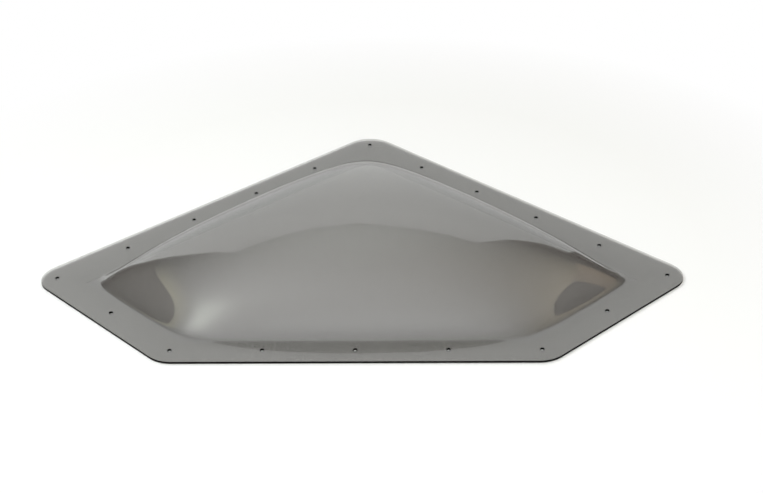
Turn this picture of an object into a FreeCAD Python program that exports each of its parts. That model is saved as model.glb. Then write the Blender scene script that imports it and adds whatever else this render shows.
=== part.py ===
import FreeCAD, Part
import math
import os
from FreeCAD import Vector

# A smoke-tinted skylight dome for a corner shower, blown from one flat plastic sheet, with the
# five sealing strips that bed its flange on the roof. Millimetres, +Z up. The origin lies on the
# roof, under the middle of the outline. The square back corner is at +Y and the front edge at -Y.

# Outline of the flange, between its sharp corners
BACK_SIDE = 609.6
SHORT_SIDE = 279.4
CORNER_RADIUS = 38.1

# The sheet, as it is in the flange and at the crown, where blowing has drawn it thinnest
SHEET = 3.0
CROWN_WALL = 2.2

# Width of the flange along each kind of side, out to where the dome leaves it
FLANGE_BACK = 60.0
FLANGE_SHORT = 49.5
FLANGE_FRONT = 48.5

# The dome's height above the flange, and the run over which it climbs from each kind of side
CROWN_HEIGHT = 76.0
RISE_BACK = 46.0
RISE_SHORT = 45.0
RISE_FRONT = 30.0

# How far the clamped sheet is held down along the base, which rounds the dome's corners
BASE_RELIEF = 1.9

# Screw holes, on a line parallel to the edge. Each side's count takes in the corner it starts from
HOLE_DIAMETER = 5.5
HOLE_INSET = 25.4
HOLE_COUNT_BACK = 5
HOLE_COUNT_SHORT = 2
HOLE_COUNT_FRONT = 4

# How far the drills run past both faces
DRILL_PAST = 1.0

# Sealing strips, set back from the flange's edge and from the dome
SEAL_THICKNESS = 1.6
SEAL_SETBACK = 1.5
SEAL_TO_DOME = 2.0

# Spacing of the points that the blown surface is drawn through, and its run past the dome's base
GRID_STEP = 12.0
GRID_MARGIN = 6.0

FLANGE_BOTTOM = SEAL_THICKNESS
FLANGE_TOP = FLANGE_BOTTOM + SHEET


class Side:
    """One straight side of the outline, with the sizes that go with it."""

    def __init__(self, name, start, end, flange, rise, holes):
        self.name = name
        self.start = start
        self.along = (end - start).normalize()
        self.inward = Vector(self.along.y, -self.along.x, 0)
        self.flange = flange
        self.rise = rise
        self.holes = holes

    def depth(self, x, y):
        """Distance of a point inside this side."""
        return (Vector(x, y, 0) - self.start).dot(self.inward)


def outline_sides():
    """The five sides, clockwise from the back corner."""
    diagonal = math.sqrt(0.5)
    right = Vector(BACK_SIDE, -BACK_SIDE, 0) * diagonal
    front_right = right - Vector(SHORT_SIDE, SHORT_SIDE, 0) * diagonal
    rounded_off = CORNER_RADIUS * (math.sqrt(2) - 1)
    middle = Vector(0, (front_right.y - rounded_off) / 2, 0)
    corners = [Vector(0, 0, 0), right, front_right]
    corners += [Vector(-c.x, c.y, 0) for c in (front_right, right)]
    corners = [c - middle for c in corners]
    back = (FLANGE_BACK, RISE_BACK, HOLE_COUNT_BACK)
    short = (FLANGE_SHORT, RISE_SHORT, HOLE_COUNT_SHORT)
    front = (FLANGE_FRONT, RISE_FRONT, HOLE_COUNT_FRONT)
    kinds = [
        ("back_right", back),
        ("side_right", short),
        ("front", front),
        ("side_left", short),
        ("back_left", back),
    ]
    ends = corners[1:] + corners[:1]
    return [Side(name, a, b, *sizes) for (name, sizes), a, b in zip(kinds, corners, ends)]


SIDES = outline_sides()


def meet(first, first_inset, second, second_inset):
    """Where two sides cross once each has been moved inwards by its own inset."""
    p = first.start + first.inward * first_inset
    q = second.start + second.inward * second_inset
    run = (q - p).dot(second.inward) / first.along.dot(second.inward)
    return p + first.along * run


def inset_corners(insets):
    """Corners of the outline with each side moved inwards by its own inset."""
    return [meet(SIDES[k - 1], insets[k - 1], SIDES[k], insets[k]) for k in range(len(SIDES))]


def prism(corners, bottom, height, radius=0.0):
    """Upright block on a straight-sided outline, its upright edges rounded where asked."""
    base = [Vector(c.x, c.y, bottom) for c in corners]
    block = Part.Face(Part.makePolygon(base + base[:1])).extrude(Vector(0, 0, height))
    if radius > 0:
        upright = [e for e in block.Edges if e.BoundBox.ZLength > 0.5 * height]
        block = block.makeFillet(radius, upright)
    return block


def swell(x, y):
    """Share of the rise reached at a point: held down along the sides, levelling off inwards."""
    share = 1.0
    for side in SIDES:
        share *= math.atan((side.depth(x, y) - side.flange) / side.rise)
    return share


def greatest_swell():
    """The share at the crown, found along the line of symmetry."""
    back, front = SIDES[0].start.y, SIDES[2].start.y
    steps = 400
    return max(swell(0, front + (back - front) * k / steps) for k in range(steps))


CROWN_SWELL = greatest_swell()


def dome_height(x, y):
    """Height of the dome's outer skin above the flange."""
    return (CROWN_HEIGHT + BASE_RELIEF) * swell(x, y) / CROWN_SWELL - BASE_RELIEF


def outer_point(x, y):
    """A point of the dome's outer skin."""
    return Vector(x, y, FLANGE_TOP + dome_height(x, y))


def inner_point(x, y):
    """The point of the inner skin straight below, deep enough to keep the wall's thickness on a slope."""
    h = 0.01
    slope_x = (dome_height(x + h, y) - dome_height(x - h, y)) / (2 * h)
    slope_y = (dome_height(x, y + h) - dome_height(x, y - h)) / (2 * h)
    drawn = max(dome_height(x, y), 0) / CROWN_HEIGHT
    wall = SHEET - (SHEET - CROWN_WALL) * drawn
    return outer_point(x, y) - Vector(0, 0, wall * math.hypot(1, slope_x, slope_y))


def spaced(low, high):
    """Even steps from low to high, none longer than the grid step."""
    count = math.ceil((high - low) / GRID_STEP)
    return [low + (high - low) * k / count for k in range(count + 1)]


def under_skin(skin_point, bottom):
    """The block under one skin of the dome, cut off level at the bottom."""
    base = inset_corners([side.flange for side in SIDES])
    xs = spaced(base[4].x - GRID_MARGIN, base[1].x + GRID_MARGIN)
    ys = spaced(base[2].y - GRID_MARGIN, base[0].y + GRID_MARGIN)
    skin = Part.BSplineSurface()
    skin.interpolate([[skin_point(x, y) for x in xs] for y in ys])
    tall = 4 * (CROWN_HEIGHT + FLANGE_TOP)
    block = skin.toShape().extrude(Vector(0, 0, -tall))
    wide = 4 * BACK_SIDE
    above = Part.makeBox(wide, wide, tall, Vector(-wide / 2, -wide / 2, bottom))
    # past the corners of the base the formula climbs again, so the dome is the largest piece
    return max(block.common(above).Solids, key=lambda piece: piece.Volume)


def hole_centres():
    """A hole at each corner of the hole line and the rest evenly between them."""
    corners = inset_corners([HOLE_INSET] * len(SIDES))
    centres = []
    for side, start, end in zip(SIDES, corners, corners[1:] + corners[:1]):
        step = (end - start) / side.holes
        centres += [start + step * k for k in range(side.holes)]
    return centres


def drilled(shape):
    """The shape with the screw holes through it."""
    length = FLANGE_TOP + 2 * DRILL_PAST
    drills = [
        Part.makeCylinder(HOLE_DIAMETER / 2, length, Vector(c.x, c.y, -DRILL_PAST))
        for c in hole_centres()
    ]
    return shape.cut(Part.makeCompound(drills))


def outer_dome():
    """Flange and dome in one sheet, open underneath."""
    plate = prism(inset_corners([0] * len(SIDES)), FLANGE_BOTTOM, SHEET, CORNER_RADIUS)
    raised = under_skin(outer_point, FLANGE_TOP)
    hollow = under_skin(inner_point, FLANGE_BOTTOM)
    return drilled(plate.fuse(raised).cut(hollow))


def seal_strips():
    """A strip along each side: each covers its first corner and stops against the next strip."""
    outline = prism(
        inset_corners([SEAL_SETBACK] * len(SIDES)), 0, SEAL_THICKNESS, CORNER_RADIUS - SEAL_SETBACK
    )
    strips = {}
    for k, side in enumerate(SIDES):
        before, after = SIDES[k - 1], SIDES[(k + 1) % len(SIDES)]
        inner, next_inner = side.flange - SEAL_TO_DOME, after.flange - SEAL_TO_DOME
        corners = [
            meet(before, SEAL_SETBACK, side, SEAL_SETBACK),
            meet(side, SEAL_SETBACK, after, next_inner),
            meet(side, inner, after, next_inner),
            meet(before, SEAL_SETBACK, side, inner),
        ]
        strip = prism(corners, 0, SEAL_THICKNESS).common(outline)
        strips["seal_" + side.name] = drilled(strip)
    return strips


def main():
    os.makedirs("parts", exist_ok=True)
    nodes = {"outer_dome": outer_dome(), **seal_strips()}
    for name, shape in nodes.items():
        solids = shape.Solids
        print(name, len(solids), "solid", round(sum(s.Volume for s in solids)), "mm3", shape.isValid())
        solids[0].exportStep("parts/" + name + ".step")


if __name__ == "__main__":
    main()
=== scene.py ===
import math

import bmesh
import bpy
import numpy as np
from bpy.props import FloatProperty, FloatVectorProperty, IntProperty, PointerProperty
from mathutils import Matrix, Vector


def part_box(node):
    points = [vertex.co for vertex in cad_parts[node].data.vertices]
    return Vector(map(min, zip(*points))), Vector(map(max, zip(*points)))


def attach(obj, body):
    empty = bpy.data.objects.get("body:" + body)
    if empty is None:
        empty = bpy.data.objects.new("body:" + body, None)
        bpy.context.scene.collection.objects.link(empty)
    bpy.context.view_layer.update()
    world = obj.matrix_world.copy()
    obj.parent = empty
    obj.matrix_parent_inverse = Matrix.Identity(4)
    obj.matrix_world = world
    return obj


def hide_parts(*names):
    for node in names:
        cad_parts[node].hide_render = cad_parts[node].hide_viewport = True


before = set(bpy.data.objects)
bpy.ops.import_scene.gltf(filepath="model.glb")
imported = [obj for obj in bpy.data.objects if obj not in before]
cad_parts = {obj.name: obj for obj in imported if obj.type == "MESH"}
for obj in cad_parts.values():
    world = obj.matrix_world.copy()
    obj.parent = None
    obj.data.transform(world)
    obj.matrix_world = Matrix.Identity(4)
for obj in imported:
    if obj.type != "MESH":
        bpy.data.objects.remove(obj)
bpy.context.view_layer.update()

bl_info = {
    "name": "Skylight Dome Maker",
    "version": (1, 0, 0),
    "blender": (4, 5, 0),
    "location": "3D View > Sidebar > Skylight",
    "description": "Dresses a smoke-tinted skylight dome and its sealing strips, with a small "
                   "studio round them",
    "category": "Add Mesh",
}

DOME_LOW, DOME_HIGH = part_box("outer_dome")
SEALS = ("seal_back_right", "seal_side_right", "seal_front", "seal_side_left", "seal_back_left")
SHEET = 0.003

# Mesh of the sheet: the spacing of points round its edge, the width of the level bands inside the
# edge and outside the heel, and the sides of a screw hole
EDGE_STEP = 0.0048
LEVEL_BAND = 0.002
HOLE_SEGMENTS = 40

# Its rings over the heel, the share of the heel's depth that the first lies at, its rings from
# there to the crown, and the power that draws those together towards the heel
HEEL_RINGS = 9
HEEL_START = 0.98
WALL_RINGS = 62
WALL_SPACING = 1.35

# Searches: points tried for the crown, and halvings of the way to a given height
CROWN_TRIES = 4001
HALVINGS = 40

# Points closer than this are one. Edges sharper than the first angle are cut ones, to be rounded,
# and those blunter than the second are shaded smooth
SAME_POINT = 1e-6
CUT_ANGLE = math.radians(60)
SMOOTH_ANGLE = math.radians(20)

# A face is upright where its normal rises less than this. Outside the dome's base by more than the
# margin, upright faces are cut ones
UPRIGHT = 0.9
BASE_MARGIN = 0.008


def metres(name, description, default):
    return FloatProperty(name=name, description=description, default=default, unit="LENGTH")


def count(name, description, default):
    return IntProperty(name=name, description=description, default=default)


def share(name, description, default):
    return FloatProperty(
        name=name, description=description, default=default, min=0.0, max=1.0, subtype="FACTOR")


def tone(name, description, default):
    return FloatVectorProperty(
        name=name, description=description, default=default, min=0.0, max=1.0, subtype="COLOR")


def angle(name, description, degrees):
    return FloatProperty(
        name=name, description=description, default=math.radians(degrees), subtype="ANGLE",
        unit="ROTATION")


class SkylightSizes(bpy.types.PropertyGroup):
    """Sizes of the skylight, in metres."""

    back_side: metres("Back side", "From the back corner to a side corner, both sharp", 0.6096)
    short_side: metres("Short side", "From a side corner to a front corner, both sharp", 0.2794)
    corner_radius: metres("Corner radius", "Rounding of the flange's corners", 0.0381)
    sheet: metres("Sheet", "Thickness of the flange", SHEET)
    crown_wall: metres(
        "Crown wall", "Thickness at the crown, where blowing draws the sheet thinnest", 0.0022)
    flange_back: metres("Back flange", "Width of the flange along a back side", 0.060)
    flange_short: metres("Short flange", "Width of the flange along a short side", 0.0495)
    flange_front: metres("Front flange", "Width of the flange along the front", 0.0485)
    crown_height: metres(
        "Crown height", "From the flange's top to the crown", DOME_HIGH.z - DOME_LOW.z - SHEET)
    rise_back: metres("Back rise", "Run over which the dome climbs from a back side", 0.046)
    rise_short: metres("Short rise", "Run over which the dome climbs from a short side", 0.045)
    rise_front: metres("Front rise", "Run over which the dome climbs from the front", 0.030)
    base_relief: metres(
        "Base relief", "How far the clamped sheet is held down along the base", 0.0019)
    sweep_back: metres(
        "Back sweep", "Half the run over which the sheet sweeps up from a back side", 0.004)
    sweep_short: metres(
        "Short sweep", "Half the run over which the sheet sweeps up from a short side", 0.007)
    sweep_front: metres(
        "Front sweep", "Half the run over which the sheet sweeps up from the front", 0.010)
    heel: metres("Heel", "Height over which the sheet bends up out of the flange", 0.0015)
    hole_diameter: metres("Hole diameter", "Diameter of the screw holes", 0.0055)
    hole_inset: metres("Hole inset", "From the edge to the line of holes", 0.0254)
    holes_back: count(
        "Back holes", "Holes along a back side, counting the corner it starts from", 5)
    holes_short: count(
        "Short holes", "Holes along a short side, counting the corner it starts from", 2)
    holes_front: count(
        "Front holes", "Holes along the front, counting the corner it starts from", 4)
    edge_break: metres("Edge break", "Rounding of the cut edges", 0.0003)
    trim: metres("Trim", "How far inside its CAD outline the edge is finished", 0.00005)
    bed_gap: metres("Bed gap", "Air between the flange and the sealing strips", 0.00005)


class SkylightFinish(bpy.types.PropertyGroup):
    """Colours and surface finish."""

    kept_back: share(
        "Light kept back", "Share of the light that one face of the full sheet keeps back", 0.388)
    clearing: share(
        "Clearing", "How much of the wall's thinning shows as a clearer dome", 0.73)
    shine: share("Shine", "Share of the light mirrored by a face seen straight on", 0.04)
    glancing: share(
        "Glancing shine", "Share added to it by the time the face is seen edge on", 0.38)
    # Painted light: share of a dull diffuse grey laid over the outer flange. It lightens the flange
    # and leaves the band by the dome's base darker, as painted shade where the dome's shadow and
    # reflection fall
    painted_flange_light: share(
        "Haze", "Share of the flange's faces dulled by the clamp that held the sheet", 0.018)
    tint: tone("Tint", "Colour of the light that comes through", (1.0, 0.990, 0.980))
    smoke: tone("Smoke", "Colour of the dye itself", (0.010, 0.010, 0.009))
    gloss: share("Roughness", "Roughness of the formed sheet", 0.03)
    cut_edge: tone("Cut edge", "Colour of the sheet seen through its edge", (0.004, 0.004, 0.004))
    seal: tone("Seal", "Colour of the sealing strips", (0.94, 0.94, 0.91))


class SkylightStudio(bpy.types.PropertyGroup):
    """Camera and surroundings."""

    camera_place: FloatVectorProperty(
        name="Camera place", description="Where the camera stands", subtype="XYZ", unit="LENGTH",
        default=(0.0875, -1.7793, 0.9889))
    camera_turn: angle("Turn", "Camera's turn to the left of +Y", 2.03)
    camera_dip: angle("Dip", "How far the camera looks down", 29.36)
    camera_roll: angle("Roll", "Camera's roll", -1.32)
    focal_pixels: FloatProperty(
        name="Focal length", description="Focal length in pixels of the photograph's frame",
        default=1499.0)
    ceiling: FloatProperty(
        name="Ceiling", description="Brightness of the lit ceiling", default=0.785)
    backdrop: FloatProperty(
        name="Backdrop", description="Brightness of the paper behind the skylight", default=1.0)
    fill: FloatProperty(
        name="Fill", description="Power of the lamp that evens out the white table", default=1.0,
        unit="POWER")
    room: tone("Room", "Colour of the rest of the room", (0.05, 0.03, 0.018))


class Side:
    """One straight side of the skylight's plan, run anticlockwise."""

    def __init__(self, start, end, flange, rise, sweep, holes):
        self.start = start
        self.along = (end - start).normalized()
        self.inward = Vector((-self.along.y, self.along.x))
        self.flange = flange
        self.rise = rise
        self.sweep = sweep
        self.holes = holes

    def depth(self, x, y):
        """Distance of points inside this side."""
        return (x - self.start.x) * self.inward.x + (y - self.start.y) * self.inward.y

    def run(self, x, y):
        """Distance inside the dome's base, eased in over the sweep out of the flange."""
        inside = self.depth(x, y) - self.flange
        eased = np.maximum(inside + self.sweep, 0.0) ** 2 / (4 * self.sweep)
        return np.where(inside > self.sweep, inside, eased)


class Plan:
    """The five-sided plan and the blown surface over it, in the frame's own place."""

    def __init__(self, sizes):
        self.sizes = sizes
        self.flange_top = DOME_LOW.z + sizes.sheet
        diagonal = math.sqrt(0.5)
        side_corner = Vector((sizes.back_side, -sizes.back_side)) * diagonal
        front_corner = side_corner - Vector((sizes.short_side, sizes.short_side)) * diagonal
        rounded_off = sizes.corner_radius * (math.sqrt(2) - 1)
        middle = Vector((0, (front_corner.y - rounded_off) / 2))
        right = [side_corner - middle, front_corner - middle]
        left = [Vector((-c.x, c.y)) for c in right]
        corners = [-middle, left[0], left[1], right[1], right[0]]
        back = (sizes.flange_back, sizes.rise_back, sizes.sweep_back, sizes.holes_back)
        short = (sizes.flange_short, sizes.rise_short, sizes.sweep_short, sizes.holes_short)
        front = (sizes.flange_front, sizes.rise_front, sizes.sweep_front, sizes.holes_front)
        ends = corners[1:] + corners[:1]
        kinds = (back, short, front, short, back)
        self.sides = [Side(a, b, *kind) for a, b, kind in zip(corners, ends, kinds)]
        self.crown = self.find_crown()
        self.crown_swell = float(self.swell(self.crown.x, self.crown.y))

    def swell(self, x, y):
        """Share of the rise reached at points: held down along the sides, levelling off inwards."""
        reached = 1.0
        for side in self.sides:
            reached = reached * np.arctan(side.run(x, y) / side.rise)
        return reached

    def find_crown(self):
        """The highest point, on the line of symmetry."""
        y = np.linspace(self.sides[2].start.y, self.sides[0].start.y, CROWN_TRIES)
        return Vector((0.0, float(y[self.swell(0 * y, y)[1:-1].argmax() + 1])))

    def climb(self, x, y):
        """Height of the blown surface over the flange, below zero near the clamped base."""
        full = self.sizes.crown_height + self.sizes.base_relief
        return full * self.swell(x, y) / self.crown_swell - self.sizes.base_relief

    def height(self, x, y):
        """Height over the flange with the heel's bend worked in."""
        climb, heel = self.climb(x, y), self.sizes.heel
        bend = np.maximum(climb + heel, 0.0) ** 2 / (4 * heel)
        return np.where(climb > heel, climb, bend)

    def meet(self, k, inset_before, inset):
        """Where the side before k and side k cross once each has been moved inwards."""
        before, side = self.sides[k - 1], self.sides[k]
        p = before.start + before.inward * inset_before
        q = side.start + side.inward * inset
        return p + before.along * ((q - p).dot(side.inward) / before.along.dot(side.inward))

    def edge(self):
        """Points round the flange's edge, its corners rounded."""
        radius = self.sizes.corner_radius
        kept = radius - self.sizes.trim
        points = []
        for k, side in enumerate(self.sides):
            before = self.sides[k - 1]
            centre = self.meet(k, radius, radius)
            turn = -before.along.angle_signed(side.along)
            arcs = math.ceil(abs(turn) * radius / EDGE_STEP)
            for j in range(arcs):
                spoke = Matrix.Rotation(turn * j / arcs, 2) @ -before.inward
                points.append(centre + spoke * kept)
            start = centre - side.inward * kept
            end = self.meet((k + 1) % len(self.sides), radius, radius) - side.inward * kept
            steps = math.ceil((end - start).length / EDGE_STEP)
            points += [start.lerp(end, j / steps) for j in range(steps)]
        return np.array([(p.x, p.y) for p in points])

    def hole_centres(self):
        """A hole at each corner of the hole line and the rest evenly between them."""
        inset = self.sizes.hole_inset
        corners = [self.meet(k, inset, inset) for k in range(len(self.sides))]
        centres = []
        for side, a, b in zip(self.sides, corners, corners[1:] + corners[:1]):
            centres += [a.lerp(b, j / side.holes) for j in range(side.holes)]
        return centres


class Term:
    """An output of a node tree that takes part in Python sums."""

    def __init__(self, graph, socket):
        self.graph = graph
        self.socket = socket

    def __add__(self, other):
        return self.graph.sum("ADD", self, other)

    def __radd__(self, other):
        return self.graph.sum("ADD", other, self)

    def __sub__(self, other):
        return self.graph.sum("SUBTRACT", self, other)

    def __rsub__(self, other):
        return self.graph.sum("SUBTRACT", other, self)

    def __mul__(self, other):
        return self.graph.sum("MULTIPLY", self, other)

    def __rmul__(self, other):
        return self.graph.sum("MULTIPLY", other, self)

    def __truediv__(self, other):
        return self.graph.sum("DIVIDE", self, other)

    def __pow__(self, other):
        return self.graph.sum("POWER", self, other)

    def __rpow__(self, other):
        return self.graph.sum("POWER", other, self)


class Graph:
    """A material or world with an empty node tree to be filled."""

    def __init__(self, owner):
        owner.use_nodes = True
        self.owner = owner
        self.nodes = owner.node_tree.nodes
        self.links = owner.node_tree.links
        self.nodes.clear()

    def node(self, kind, values=None, settings=None, output=0):
        """Adds a node, sets it up, fills its sockets, and gives back one of its outputs."""
        made = self.nodes.new(kind)
        for name, value in (settings or {}).items():
            setattr(made, name, value)
        for name, value in (values or {}).items():
            socket = made.inputs[name]
            if isinstance(value, Term):
                self.links.new(value.socket, socket)
            else:
                socket.default_value = value
        return Term(self, made.outputs[output]) if made.outputs else None

    def sum(self, operation, *values):
        return self.node("ShaderNodeMath", dict(enumerate(values)), {"operation": operation})

    def vector_sum(self, operation, values, output=0):
        return self.node("ShaderNodeVectorMath", values, {"operation": operation}, output)

    def place(self):
        return self.node("ShaderNodeTexCoord", output="Object")

    def axis(self, place, name):
        return self.node("ShaderNodeSeparateXYZ", {"Vector": place}, output=name)

    def ray(self, kind):
        return self.node("ShaderNodeLightPath", output=kind)

    def noise(self, place, scale, detail, distortion=0.0):
        return self.node("ShaderNodeTexNoise", {
            "Vector": place, "Scale": scale, "Detail": detail, "Distortion": distortion})

    def ramp(self, value, start, end, first=0.0, last=1.0):
        """Goes evenly from the first result at the start to the last at the end."""
        return self.node("ShaderNodeMapRange", {
            "Value": value, "From Min": start, "From Max": end, "To Min": first, "To Max": last})

    def bump(self, height, distance, strength):
        return self.node("ShaderNodeBump", {
            "Height": height, "Distance": distance, "Strength": strength})

    def diffuse(self, colour):
        return self.node("ShaderNodeBsdfDiffuse", {"Color": rgba(colour)})

    def glow(self, colour, strength=1.0):
        return self.node("ShaderNodeEmission", {"Color": colour, "Strength": strength})

    def mix(self, factor, first, second):
        return self.node("ShaderNodeMixShader", {0: factor, 1: first, 2: second})

    def finish(self, surface, kind="ShaderNodeOutputMaterial"):
        self.node(kind, {"Surface": surface})
        return self.owner


def rgba(colour):
    return (*colour, 1.0)


def grey(level):
    return (level, level, level)


def fresh_material(name):
    return Graph(bpy.data.materials.new(name))


# The sheet's light: a power that has most of the dome's thinning reached soon after the sheet
# leaves the clamp, the unevenness of the dye, how much longer a slanting view's way through the
# sheet is, and the power with which its shine grows
THINNING_ONSET = 10
DYE_SPREAD = 0.03
SLANTING_WAY = 0.45
SHINE_ONSET = 2.2

# Where the painted light on the outer flange is full and where it has faded away, measured inwards
# from the dome's base, and how far the gloss's roughness varies
PAINTED_LIGHT_FULL = -0.030
PAINTED_LIGHT_GONE = -0.014
GLOSS_SPREAD = 0.8

# How much of a sealing strip's colour shows through its dust
DUST_SHADE = 0.93


def uneven(noise, spread):
    """A factor that follows a noise either side of 1."""
    return 1 + spread * (noise - 0.5)


def smoke_sheet(finish, plan):
    """Smoke-tinted sheet: each face keeps back part of the light and mirrors the room."""
    g = fresh_material("smoke_sheet")
    place = g.place()
    x, y, z = (g.axis(place, name) for name in "XYZ")
    facing = g.node("ShaderNodeLayerWeight", {"Blend": 0.5}, output="Facing")
    drawn = g.ramp(z, plan.flange_top, DOME_HIGH.z)
    thinnest = 1 - plan.sizes.crown_wall / plan.sizes.sheet
    thinning = thinnest * (1 - (1 - drawn) ** THINNING_ONSET)
    dye_cloud = uneven(g.noise(place, scale=5.0, detail=2.0), DYE_SPREAD)
    wall = (1 - finish.clearing * thinning) * dye_cloud * (1 + SLANTING_WAY * facing)
    kept_back = 1 - (1 - finish.kept_back) ** wall
    through = g.node("ShaderNodeBsdfTransparent", {"Color": rgba(finish.tint)})
    body = g.mix(kept_back, through, g.diffuse(finish.smoke))
    inside = plan.sizes.back_side
    for side in plan.sides:
        base = side.start.dot(side.inward) + side.flange
        inside = g.sum("MINIMUM", inside, x * side.inward.x + y * side.inward.y - base)
    # Painted light: a diffuse grey lightens the outer flange and fades out towards the dome's base,
    # so the band there stays darker as painted shade of the dome's shadow and reflection
    painted_light_share = g.ramp(inside, PAINTED_LIGHT_FULL, PAINTED_LIGHT_GONE, finish.painted_flange_light, 0.0)
    painted_light_grey = g.diffuse(grey(0.8))
    body = g.mix(painted_light_share, body, painted_light_grey)
    wiped = g.noise(place, scale=14.0, detail=4.0, distortion=1.2)
    ripple = g.noise(place, scale=22.0, detail=1.0)
    mirror = g.node("ShaderNodeBsdfGlossy", {
        "Color": rgba(grey(1.0)), "Roughness": finish.gloss * uneven(wiped, GLOSS_SPREAD),
        "Normal": g.bump(ripple, distance=0.0004, strength=0.12)})
    shine = finish.shine + finish.glancing * facing ** SHINE_ONSET
    return g.finish(g.mix(shine, body, mirror))


def cut_edge(finish, name, clear_inside):
    """Sawn edge or drilled wall: the way through the sheet behind it is long, so it looks black."""
    g = fresh_material(name)
    saw = g.noise(g.place(), scale=1400.0, detail=2.0)
    black = g.node("ShaderNodeBsdfPrincipled", {
        "Base Color": rgba(finish.cut_edge), "Roughness": 0.35 + 0.2 * saw, "IOR": 1.49,
        "Specular IOR Level": 0.06, "Normal": g.bump(saw, distance=0.0001, strength=0.3)})
    # seen from inside the sheet it lets the view out
    clear = g.node("ShaderNodeBsdfTransparent")
    inside = g.node("ShaderNodeNewGeometry", output="Backfacing")
    return g.finish(g.mix(inside * clear_inside, black, clear))


def seal_foam(finish):
    """Soft off-white sealing strip: closed cells, a slightly tacky skin and a little dust."""
    g = fresh_material("seal_foam")
    place = g.place()
    cells = g.node("ShaderNodeTexVoronoi", {"Vector": place, "Scale": 900.0})
    dust = g.noise(place, scale=30.0, detail=3.0)
    dusty = [channel * DUST_SHADE for channel in finish.seal]
    colour = g.node(
        "ShaderNodeMix", {0: dust, 6: rgba(dusty), 7: rgba(finish.seal)}, {"data_type": "RGBA"}, 2)
    return g.finish(g.node("ShaderNodeBsdfPrincipled", {
        "Base Color": colour, "Roughness": 0.7 + 0.15 * dust,
        "Normal": g.bump(cells, distance=0.0002, strength=0.4)}))


def select_only(piece):
    bpy.ops.object.select_all(action="DESELECT")
    piece.select_set(True)
    bpy.context.view_layer.objects.active = piece


def in_edit_mode(piece):
    """Opens one piece with nothing selected and gives back its mesh."""
    select_only(piece)
    bpy.ops.object.mode_set(mode="EDIT")
    bpy.ops.mesh.select_all(action="DESELECT")
    return bmesh.from_edit_mesh(piece.data)


def apply_modifier(piece, kind, name, **settings):
    select_only(piece)
    made = piece.modifiers.new(name, kind)
    for key, value in settings.items():
        setattr(made, key, value)
    bpy.ops.object.modifier_apply(modifier=made.name)


def ring_shares(plan, edge):
    """Shares of the way from the edge to the crown at which each ring of the sheet lies."""
    way = np.array(plan.crown) - edge
    reach = np.zeros(len(edge))
    for side in plan.sides:
        base = side.flange - side.sweep
        outside = np.minimum(side.depth(edge[:, 0], edge[:, 1]), base)
        inside = side.depth(*plan.crown)
        reach = np.maximum(reach, (base - outside) / (inside - outside))

    def share_where(level):
        low, high = reach.copy(), np.ones(len(edge))
        for _ in range(HALVINGS):
            mid = (low + high) / 2
            point = edge + way * mid[:, None]
            under = plan.climb(point[:, 0], point[:, 1]) < level
            low, high = np.where(under, mid, low), np.where(under, high, mid)
        return (low + high) / 2

    depth = plan.sizes.heel
    heel = [share_where(level) for level in np.linspace(-HEEL_START * depth, depth, HEEL_RINGS)]
    band = LEVEL_BAND / np.linalg.norm(way, axis=1)
    rises = [(k / WALL_RINGS) ** WALL_SPACING for k in range(1, WALL_RINGS + 1)]
    wall = [heel[-1] + (1 - heel[-1]) * rise for rise in rises]
    return [0 * band, band, heel[0] - band, *heel, *wall]


def blown_blank(plan):
    """The sheet's upper skin, as a grid wrapped round the crown from the flange's edge inwards."""
    edge = plan.edge()
    shares = np.array(ring_shares(plan, edge))
    rings, columns = len(shares), len(edge)
    bpy.ops.mesh.primitive_grid_add(x_subdivisions=columns, y_subdivisions=rings - 1, size=1.0)
    piece = bpy.context.active_object
    flat = np.array([v.co for v in piece.data.vertices])
    column = np.rint((flat[:, 0] + 0.5) * columns).astype(int) % columns
    ring = np.rint((flat[:, 1] + 0.5) * (rings - 1)).astype(int)
    start = edge[column]
    plane = start + (np.array(plan.crown) - start) * shares[ring, column][:, None]
    top = plan.flange_top + plan.height(plane[:, 0], plane[:, 1])
    piece.data.vertices.foreach_set("co", np.c_[plane, top].ravel())
    piece.data.update()
    in_edit_mode(piece)
    bpy.ops.mesh.select_all(action="SELECT")
    bpy.ops.mesh.remove_doubles(threshold=SAME_POINT)
    bpy.ops.object.mode_set(mode="OBJECT")
    return piece


def give_wall(piece, plan):
    """Thickens the skin downwards, thinner towards the crown."""
    sizes = plan.sizes
    group = piece.vertex_groups.new(name="wall")
    for v in piece.data.vertices:
        drawn = max(v.co.z - plan.flange_top, 0.0) / sizes.crown_height
        wall = sizes.sheet - sizes.bed_gap - (sizes.sheet - sizes.crown_wall) * drawn
        group.add([v.index], wall / sizes.sheet, "REPLACE")
    apply_modifier(
        piece, "SOLIDIFY", "wall", thickness=sizes.sheet, offset=-1.0, use_even_offset=True,
        vertex_group="wall", thickness_vertex_group=0.0)
    piece.vertex_groups.clear()


def drill(piece, plan):
    """Cuts the screw holes with one set of upright drills."""
    sizes = plan.sizes
    middle = DOME_LOW.z + sizes.sheet / 2

    def add_drill(centre):
        bpy.ops.mesh.primitive_cylinder_add(
            vertices=HOLE_SEGMENTS, radius=sizes.hole_diameter / 2, depth=4 * sizes.sheet,
            location=(*centre, middle))

    first, *others = plan.hole_centres()
    add_drill(first)
    drills = bpy.context.active_object
    in_edit_mode(drills)
    for centre in others:
        add_drill(centre)
    bpy.ops.object.mode_set(mode="OBJECT")
    apply_modifier(
        piece, "BOOLEAN", "drill", operation="DIFFERENCE", object=drills, solver="EXACT")
    bpy.data.objects.remove(drills, do_unlink=True)


def break_edges(piece, plan):
    """Rounds the cut edges: the outline and the rims of the holes."""
    mesh = in_edit_mode(piece)
    for e in mesh.edges:
        if e.is_manifold and e.calc_face_angle(0.0) > CUT_ANGLE:
            e.select_set(True)
    bmesh.update_edit_mesh(piece.data)
    bpy.ops.mesh.bevel(
        offset=plan.sizes.edge_break, segments=2, profile=0.5, affect="EDGES", clamp_overlap=True)
    bpy.ops.object.mode_set(mode="OBJECT")


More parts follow.
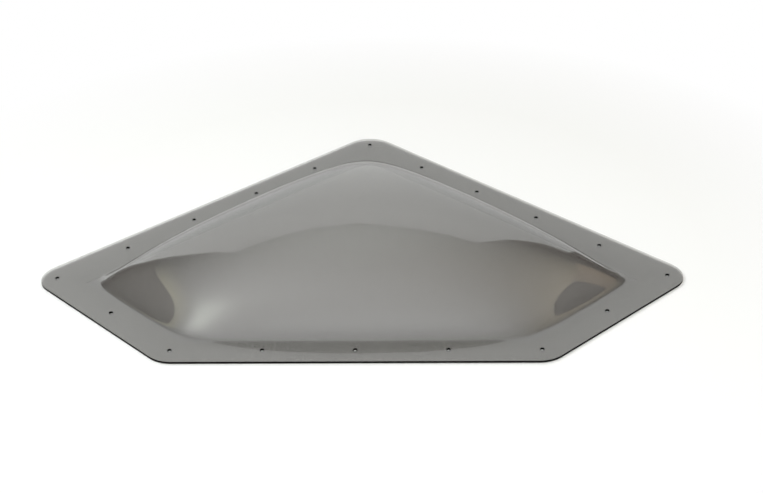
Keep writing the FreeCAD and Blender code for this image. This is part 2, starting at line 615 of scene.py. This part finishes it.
def sort_faces(piece, plan):
    """Gives the skins the first material, the outline the second and the holes the third."""
    for face in piece.data.polygons:
        face.material_index = 0
        x, y, z = face.center
        if abs(face.normal.z) < UPRIGHT and z < plan.flange_top:
            depths = [side.depth(x, y) for side in plan.sides]
            if any(d < side.flange - BASE_MARGIN for d, side in zip(depths, plan.sides)):
                face.material_index = 1 if min(depths) < plan.sizes.hole_inset / 2 else 2


class SKYLIGHT_OT_dome(bpy.types.Operator):
    """Make the blown sheet: flange, heel and dome in one piece, drilled round the edge"""

    bl_idname = "skylight.dome"
    bl_label = "Dome sheet"

    def execute(self, context):
        plan, finish = Plan(context.scene.skylight_sizes), context.scene.skylight_finish
        piece = blown_blank(plan)
        piece.name = "dome_sheet"
        give_wall(piece, plan)
        drill(piece, plan)
        break_edges(piece, plan)
        piece.data.materials.clear()
        piece.data.materials.append(smoke_sheet(finish, plan))
        piece.data.materials.append(cut_edge(finish, "cut_edge", clear_inside=1.0))
        piece.data.materials.append(cut_edge(finish, "hole_wall", clear_inside=0.45))
        sort_faces(piece, plan)
        select_only(piece)
        bpy.ops.object.shade_smooth_by_angle(angle=SMOOTH_ANGLE)
        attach(piece, "root")
        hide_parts("outer_dome")
        return {"FINISHED"}


class SKYLIGHT_OT_seals(bpy.types.Operator):
    """Give the sealing strips their foam finish"""

    bl_idname = "skylight.seals"
    bl_label = "Sealing strips"

    def execute(self, context):
        foam = seal_foam(context.scene.skylight_finish)
        for name in SEALS:
            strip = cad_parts[name]
            strip.data.materials.clear()
            strip.data.materials.append(foam)
        return {"FINISHED"}


# The photograph's frame, in pixels, and the width of the film that it falls on
FRAME_WIDTH = 763
FILM_WIDTH = 36.0

# The white table, just under the skylight. Between these distances it turns plain white
FLOOR_SIZE = 16.0
FLOOR_LEVEL = -0.0002
FLOOR_WHITE = 0.92
LIFT_START = 0.46
LIFT_END = 0.75

CEILING_HEIGHT = 3.0
CEILING_SIZE = (7.65, 10.0)
CEILING_MIDDLE = (0.075, -1.0)

# The ceiling is dark before the first of these places along it and lit after the second
CEILING_DARK = -5.98
CEILING_LIT = -5.75

# Patches of light on the ceiling: where each is brightest, how far it spreads, and its light
CEILING_PATCHES = (
    ((-1.64, -4.96), (8.97, 3.72), (2.98, 3.06, 3.12)),
    ((-2.27, -1.35), (0.74, 1.03), (3.60, 3.82, 3.50)),
    ((6.00, 0.65), (3.79, 2.50), (1.62, 1.36, 0.88)),
    ((-0.33, 3.04), (1.36, 2.57), (1.24, 1.28, 1.24)),
    ((-1.05, -0.46), (2.01, 2.19), (1.98, 2.02, 2.05)),
    ((-3.67, 0.49), (0.63, 1.54), (1.25, 1.20, 0.70)),
)

# The paper backdrop hangs behind. Its upper edge: how far across, and how high
BACKDROP_AWAY = 2.2
BACKDROP_EDGE = (
    (-2.06, 1.00), (-2.04, 1.50), (-1.95, 1.75), (-1.83, 2.00), (-1.70, 2.13), (-1.55, 2.25),
    (-1.42, 2.32), (-1.31, 2.50), (-1.22, 2.57), (-1.10, 2.45), (-0.95, 2.30), (-0.80, 2.13),
    (-0.68, 1.99), (-0.54, 1.88), (-0.41, 1.79), (-0.27, 1.73), (-0.13, 1.70), (0.00, 1.74),
    (0.11, 1.77), (0.26, 1.84), (0.43, 1.92), (0.54, 2.03), (0.67, 2.15), (0.73, 2.15),
    (0.81, 1.97), (0.93, 1.68), (1.07, 1.40), (1.21, 1.12), (1.33, 0.96), (1.42, 0.76),
)

# At its foot the paper's spread past each of these places is cut to a share
BACKDROP_FOOT_LEFT = (-1.2, 0.45)
BACKDROP_FOOT_RIGHT = (0.6, 0.63)

# Its light, and how much of that it loses per metre to the right. It is plainest at one height, and
# by a lower and a higher one it has gained a little
BACKDROP_COLOUR = (0.985, 1.0, 0.985)
BACKDROP_LIGHT = 1.05
BACKDROP_FALL = 0.12
BACKDROP_PLAIN = 1.1
BACKDROP_LOW = (0.35, 0.06)
BACKDROP_HIGH = (1.45, 0.08)

SIDE_WALL_PLACE = (3.74, 2.6, 2.55)
SIDE_WALL_SIZE = (0.85, 2.7)
SIDE_WALL_TAN = (0.60, 0.45, 0.30)

# Past the paper's right edge the table is dark. The near and far ends of its slanting left edge,
# across from its middle
DARK_TABLE_PLACE = (2.9, 1.65, 0.0005)
DARK_TABLE_SIZE = (4.0, 3.4)
DARK_TABLE_NEAR = -2.48
DARK_TABLE_FAR = -1.42
DARK_TABLE_GREY = 0.02

FILL_PLACE = (2.0, 1.2, 3.0)
FILL_AIM = (0.6, 0.3, 0.0)
FILL_SIZE = 3.0


def card(name, place, size, facing, material):
    """A flat card of the studio that the camera doesn't see but the gloss does."""
    bpy.ops.mesh.primitive_plane_add(size=1.0, location=place)
    made = bpy.context.active_object
    made.name = name
    made.data.transform(Matrix.Diagonal((*size, 1.0, 1.0)))
    made.rotation_euler = facing
    made.data.materials.append(material)
    made.visible_camera = False
    return made


class SKYLIGHT_OT_stage(bpy.types.Operator):
    """Lay the floor, hang the backdrop and the lit ceiling, and stand the camera"""

    bl_idname = "skylight.stage"
    bl_label = "Studio"

    def execute(self, context):
        studio = context.scene.skylight_studio
        self.floor()
        self.backdrop(studio)
        self.ceiling(studio)
        self.side_wall()
        self.dark_table()
        self.fill(studio)
        self.world(context.scene, studio)
        self.camera(context.scene, studio)
        return {"FINISHED"}

    def floor(self):
        """The white table: it keeps the skylight's shadow and is plain white further away."""
        bpy.ops.mesh.primitive_plane_add(size=FLOOR_SIZE, location=(0, 0, FLOOR_LEVEL))
        floor = bpy.context.active_object
        floor.name = "floor"
        g = fresh_material("white_table")
        away = g.vector_sum("LENGTH", {0: g.place()}, "Value")
        seen = g.ray("Is Camera Ray") + g.ray("Is Glossy Ray") + g.ray("Is Transmission Ray")
        lift = seen * g.ramp(away, LIFT_START, LIFT_END)
        table, white = g.diffuse(grey(FLOOR_WHITE)), g.glow(rgba(grey(1.0)))
        floor.data.materials.append(g.finish(g.mix(lift, table, white)))

    def backdrop(self, studio):
        """Paper that only the gloss sees."""
        g = fresh_material("backdrop_paper")
        across, up = g.axis(g.place(), "X"), g.axis(g.place(), "Y")
        low, high = (g.ramp(up, BACKDROP_PLAIN, height, 0.0, gain)
                     for height, gain in (BACKDROP_LOW, BACKDROP_HIGH))
        strength = BACKDROP_LIGHT + low + high - BACKDROP_FALL * across
        light = g.vector_sum("SCALE", {0: BACKDROP_COLOUR, "Scale": strength})
        edge_steps = len(BACKDROP_EDGE) - 1
        bpy.ops.mesh.primitive_grid_add(
            x_subdivisions=edge_steps, y_subdivisions=1, size=2.0,
            location=(0, BACKDROP_AWAY, 0), rotation=(math.radians(90), 0, 0))
        made = bpy.context.active_object
        made.name = "backdrop"
        left, left_share = BACKDROP_FOOT_LEFT
        right, right_share = BACKDROP_FOOT_RIGHT
        for v in made.data.vertices:
            place, top = BACKDROP_EDGE[round((v.co.x + 1) / 2 * edge_steps)]
            foot = max(left + left_share * (place - left),
                       min(place, right + right_share * (place - right)))
            v.co = (place, top, 0.0) if v.co.y > 0 else (foot, 0.0, 0.0)
        made.data.materials.append(g.finish(g.glow(light, studio.backdrop)))
        made.visible_camera = made.visible_diffuse = False

    def ceiling(self, studio):
        """White boards lit in patches."""
        g = fresh_material("lit_ceiling")
        place = g.place()
        x, y = g.axis(place, "X"), g.axis(place, "Y")
        middle_x, middle_y = CEILING_MIDDLE
        light = (0.0, 0.0, 0.0)
        for centre, spread, colour in CEILING_PATCHES:
            across = (x + (middle_x - centre[0])) / spread[0]
            along = (y + (middle_y - centre[1])) / spread[1]
            glow = g.sum("EXPONENT", 0 - (across ** 2 + along ** 2))
            patch = g.vector_sum("SCALE", {0: colour, "Scale": glow})
            light = g.vector_sum("ADD", {0: light, 1: patch})
        lit = g.ramp(y, CEILING_DARK - middle_y, CEILING_LIT - middle_y)
        light = g.vector_sum("SCALE", {0: light, "Scale": lit})
        panel = g.finish(g.glow(light, studio.ceiling))
        card("ceiling", (*CEILING_MIDDLE, CEILING_HEIGHT), CEILING_SIZE, (0, 0, 0), panel)

    def side_wall(self):
        g = fresh_material("tan_wall")
        tan = g.finish(g.glow(rgba(SIDE_WALL_TAN)))
        card("side_wall", SIDE_WALL_PLACE, SIDE_WALL_SIZE, (0, math.radians(90), 0), tan)

    def dark_table(self):
        """The part of the table that the gloss sees dark."""
        g = fresh_material("dark_table")
        dark = g.finish(g.diffuse(grey(DARK_TABLE_GREY)))
        made = card("dark_floor", DARK_TABLE_PLACE, DARK_TABLE_SIZE, (0, 0, 0), dark)
        near, _, far, _ = made.data.vertices
        near.co.x, far.co.x = DARK_TABLE_NEAR, DARK_TABLE_FAR
        made.visible_diffuse = made.visible_transmission = made.visible_shadow = False

    def fill(self, studio):
        bpy.ops.object.light_add(type="AREA", location=FILL_PLACE)
        fill = bpy.context.active_object
        fill.name = "fill_light"
        fill.data.size = FILL_SIZE
        fill.data.energy = studio.fill
        aim = Vector(FILL_AIM) - fill.location
        fill.rotation_euler = aim.to_track_quat("-Z", "Y").to_euler()
        fill.visible_camera = fill.visible_glossy = False

    def world(self, scene, studio):
        """White to the camera, and the dim rest of the room to everything else."""
        scene.world = bpy.data.worlds.new("studio_room")
        g = Graph(scene.world)
        room, white = (g.node("ShaderNodeBackground", {"Color": rgba(colour), "Strength": 1.0})
                       for colour in (studio.room, grey(1.0)))
        g.finish(g.mix(g.ray("Is Camera Ray"), room, white), "ShaderNodeOutputWorld")

    def camera(self, scene, studio):
        bpy.ops.object.camera_add(location=studio.camera_place)
        camera = bpy.context.active_object
        turned = (Matrix.Rotation(studio.camera_turn, 4, "Z")
                  @ Matrix.Rotation(math.radians(90) - studio.camera_dip, 4, "X")
                  @ Matrix.Rotation(studio.camera_roll, 4, "Z"))
        camera.rotation_euler = turned.to_euler()
        camera.data.sensor_width = FILM_WIDTH
        camera.data.lens = FILM_WIDTH * studio.focal_pixels / FRAME_WIDTH
        camera.data.clip_end = 100.0
        scene.camera = camera
        scene.view_settings.view_transform = "Standard"


class SKYLIGHT_PT_panel(bpy.types.Panel):
    """Sidebar panel with the steps in order"""

    bl_idname = "SKYLIGHT_PT_panel"
    bl_label = "Skylight"
    bl_space_type = "VIEW_3D"
    bl_region_type = "UI"
    bl_category = "Skylight"

    def draw(self, context):
        for step in STEPS:
            self.layout.operator(step.bl_idname)


STEPS = (SKYLIGHT_OT_dome, SKYLIGHT_OT_seals, SKYLIGHT_OT_stage)
GROUPS = (SkylightSizes, SkylightFinish, SkylightStudio)
CLASSES = (*GROUPS, *STEPS, SKYLIGHT_PT_panel)


def register():
    for kind in CLASSES:
        bpy.utils.register_class(kind)
    bpy.types.Scene.skylight_sizes = PointerProperty(type=SkylightSizes)
    bpy.types.Scene.skylight_finish = PointerProperty(type=SkylightFinish)
    bpy.types.Scene.skylight_studio = PointerProperty(type=SkylightStudio)


def unregister():
    del bpy.types.Scene.skylight_studio
    del bpy.types.Scene.skylight_finish
    del bpy.types.Scene.skylight_sizes
    for kind in reversed(CLASSES):
        bpy.utils.unregister_class(kind)


def main():
    register()
    bpy.ops.skylight.dome()
    bpy.ops.skylight.seals()
    bpy.ops.skylight.stage()


if __name__ == "__main__":
    main()
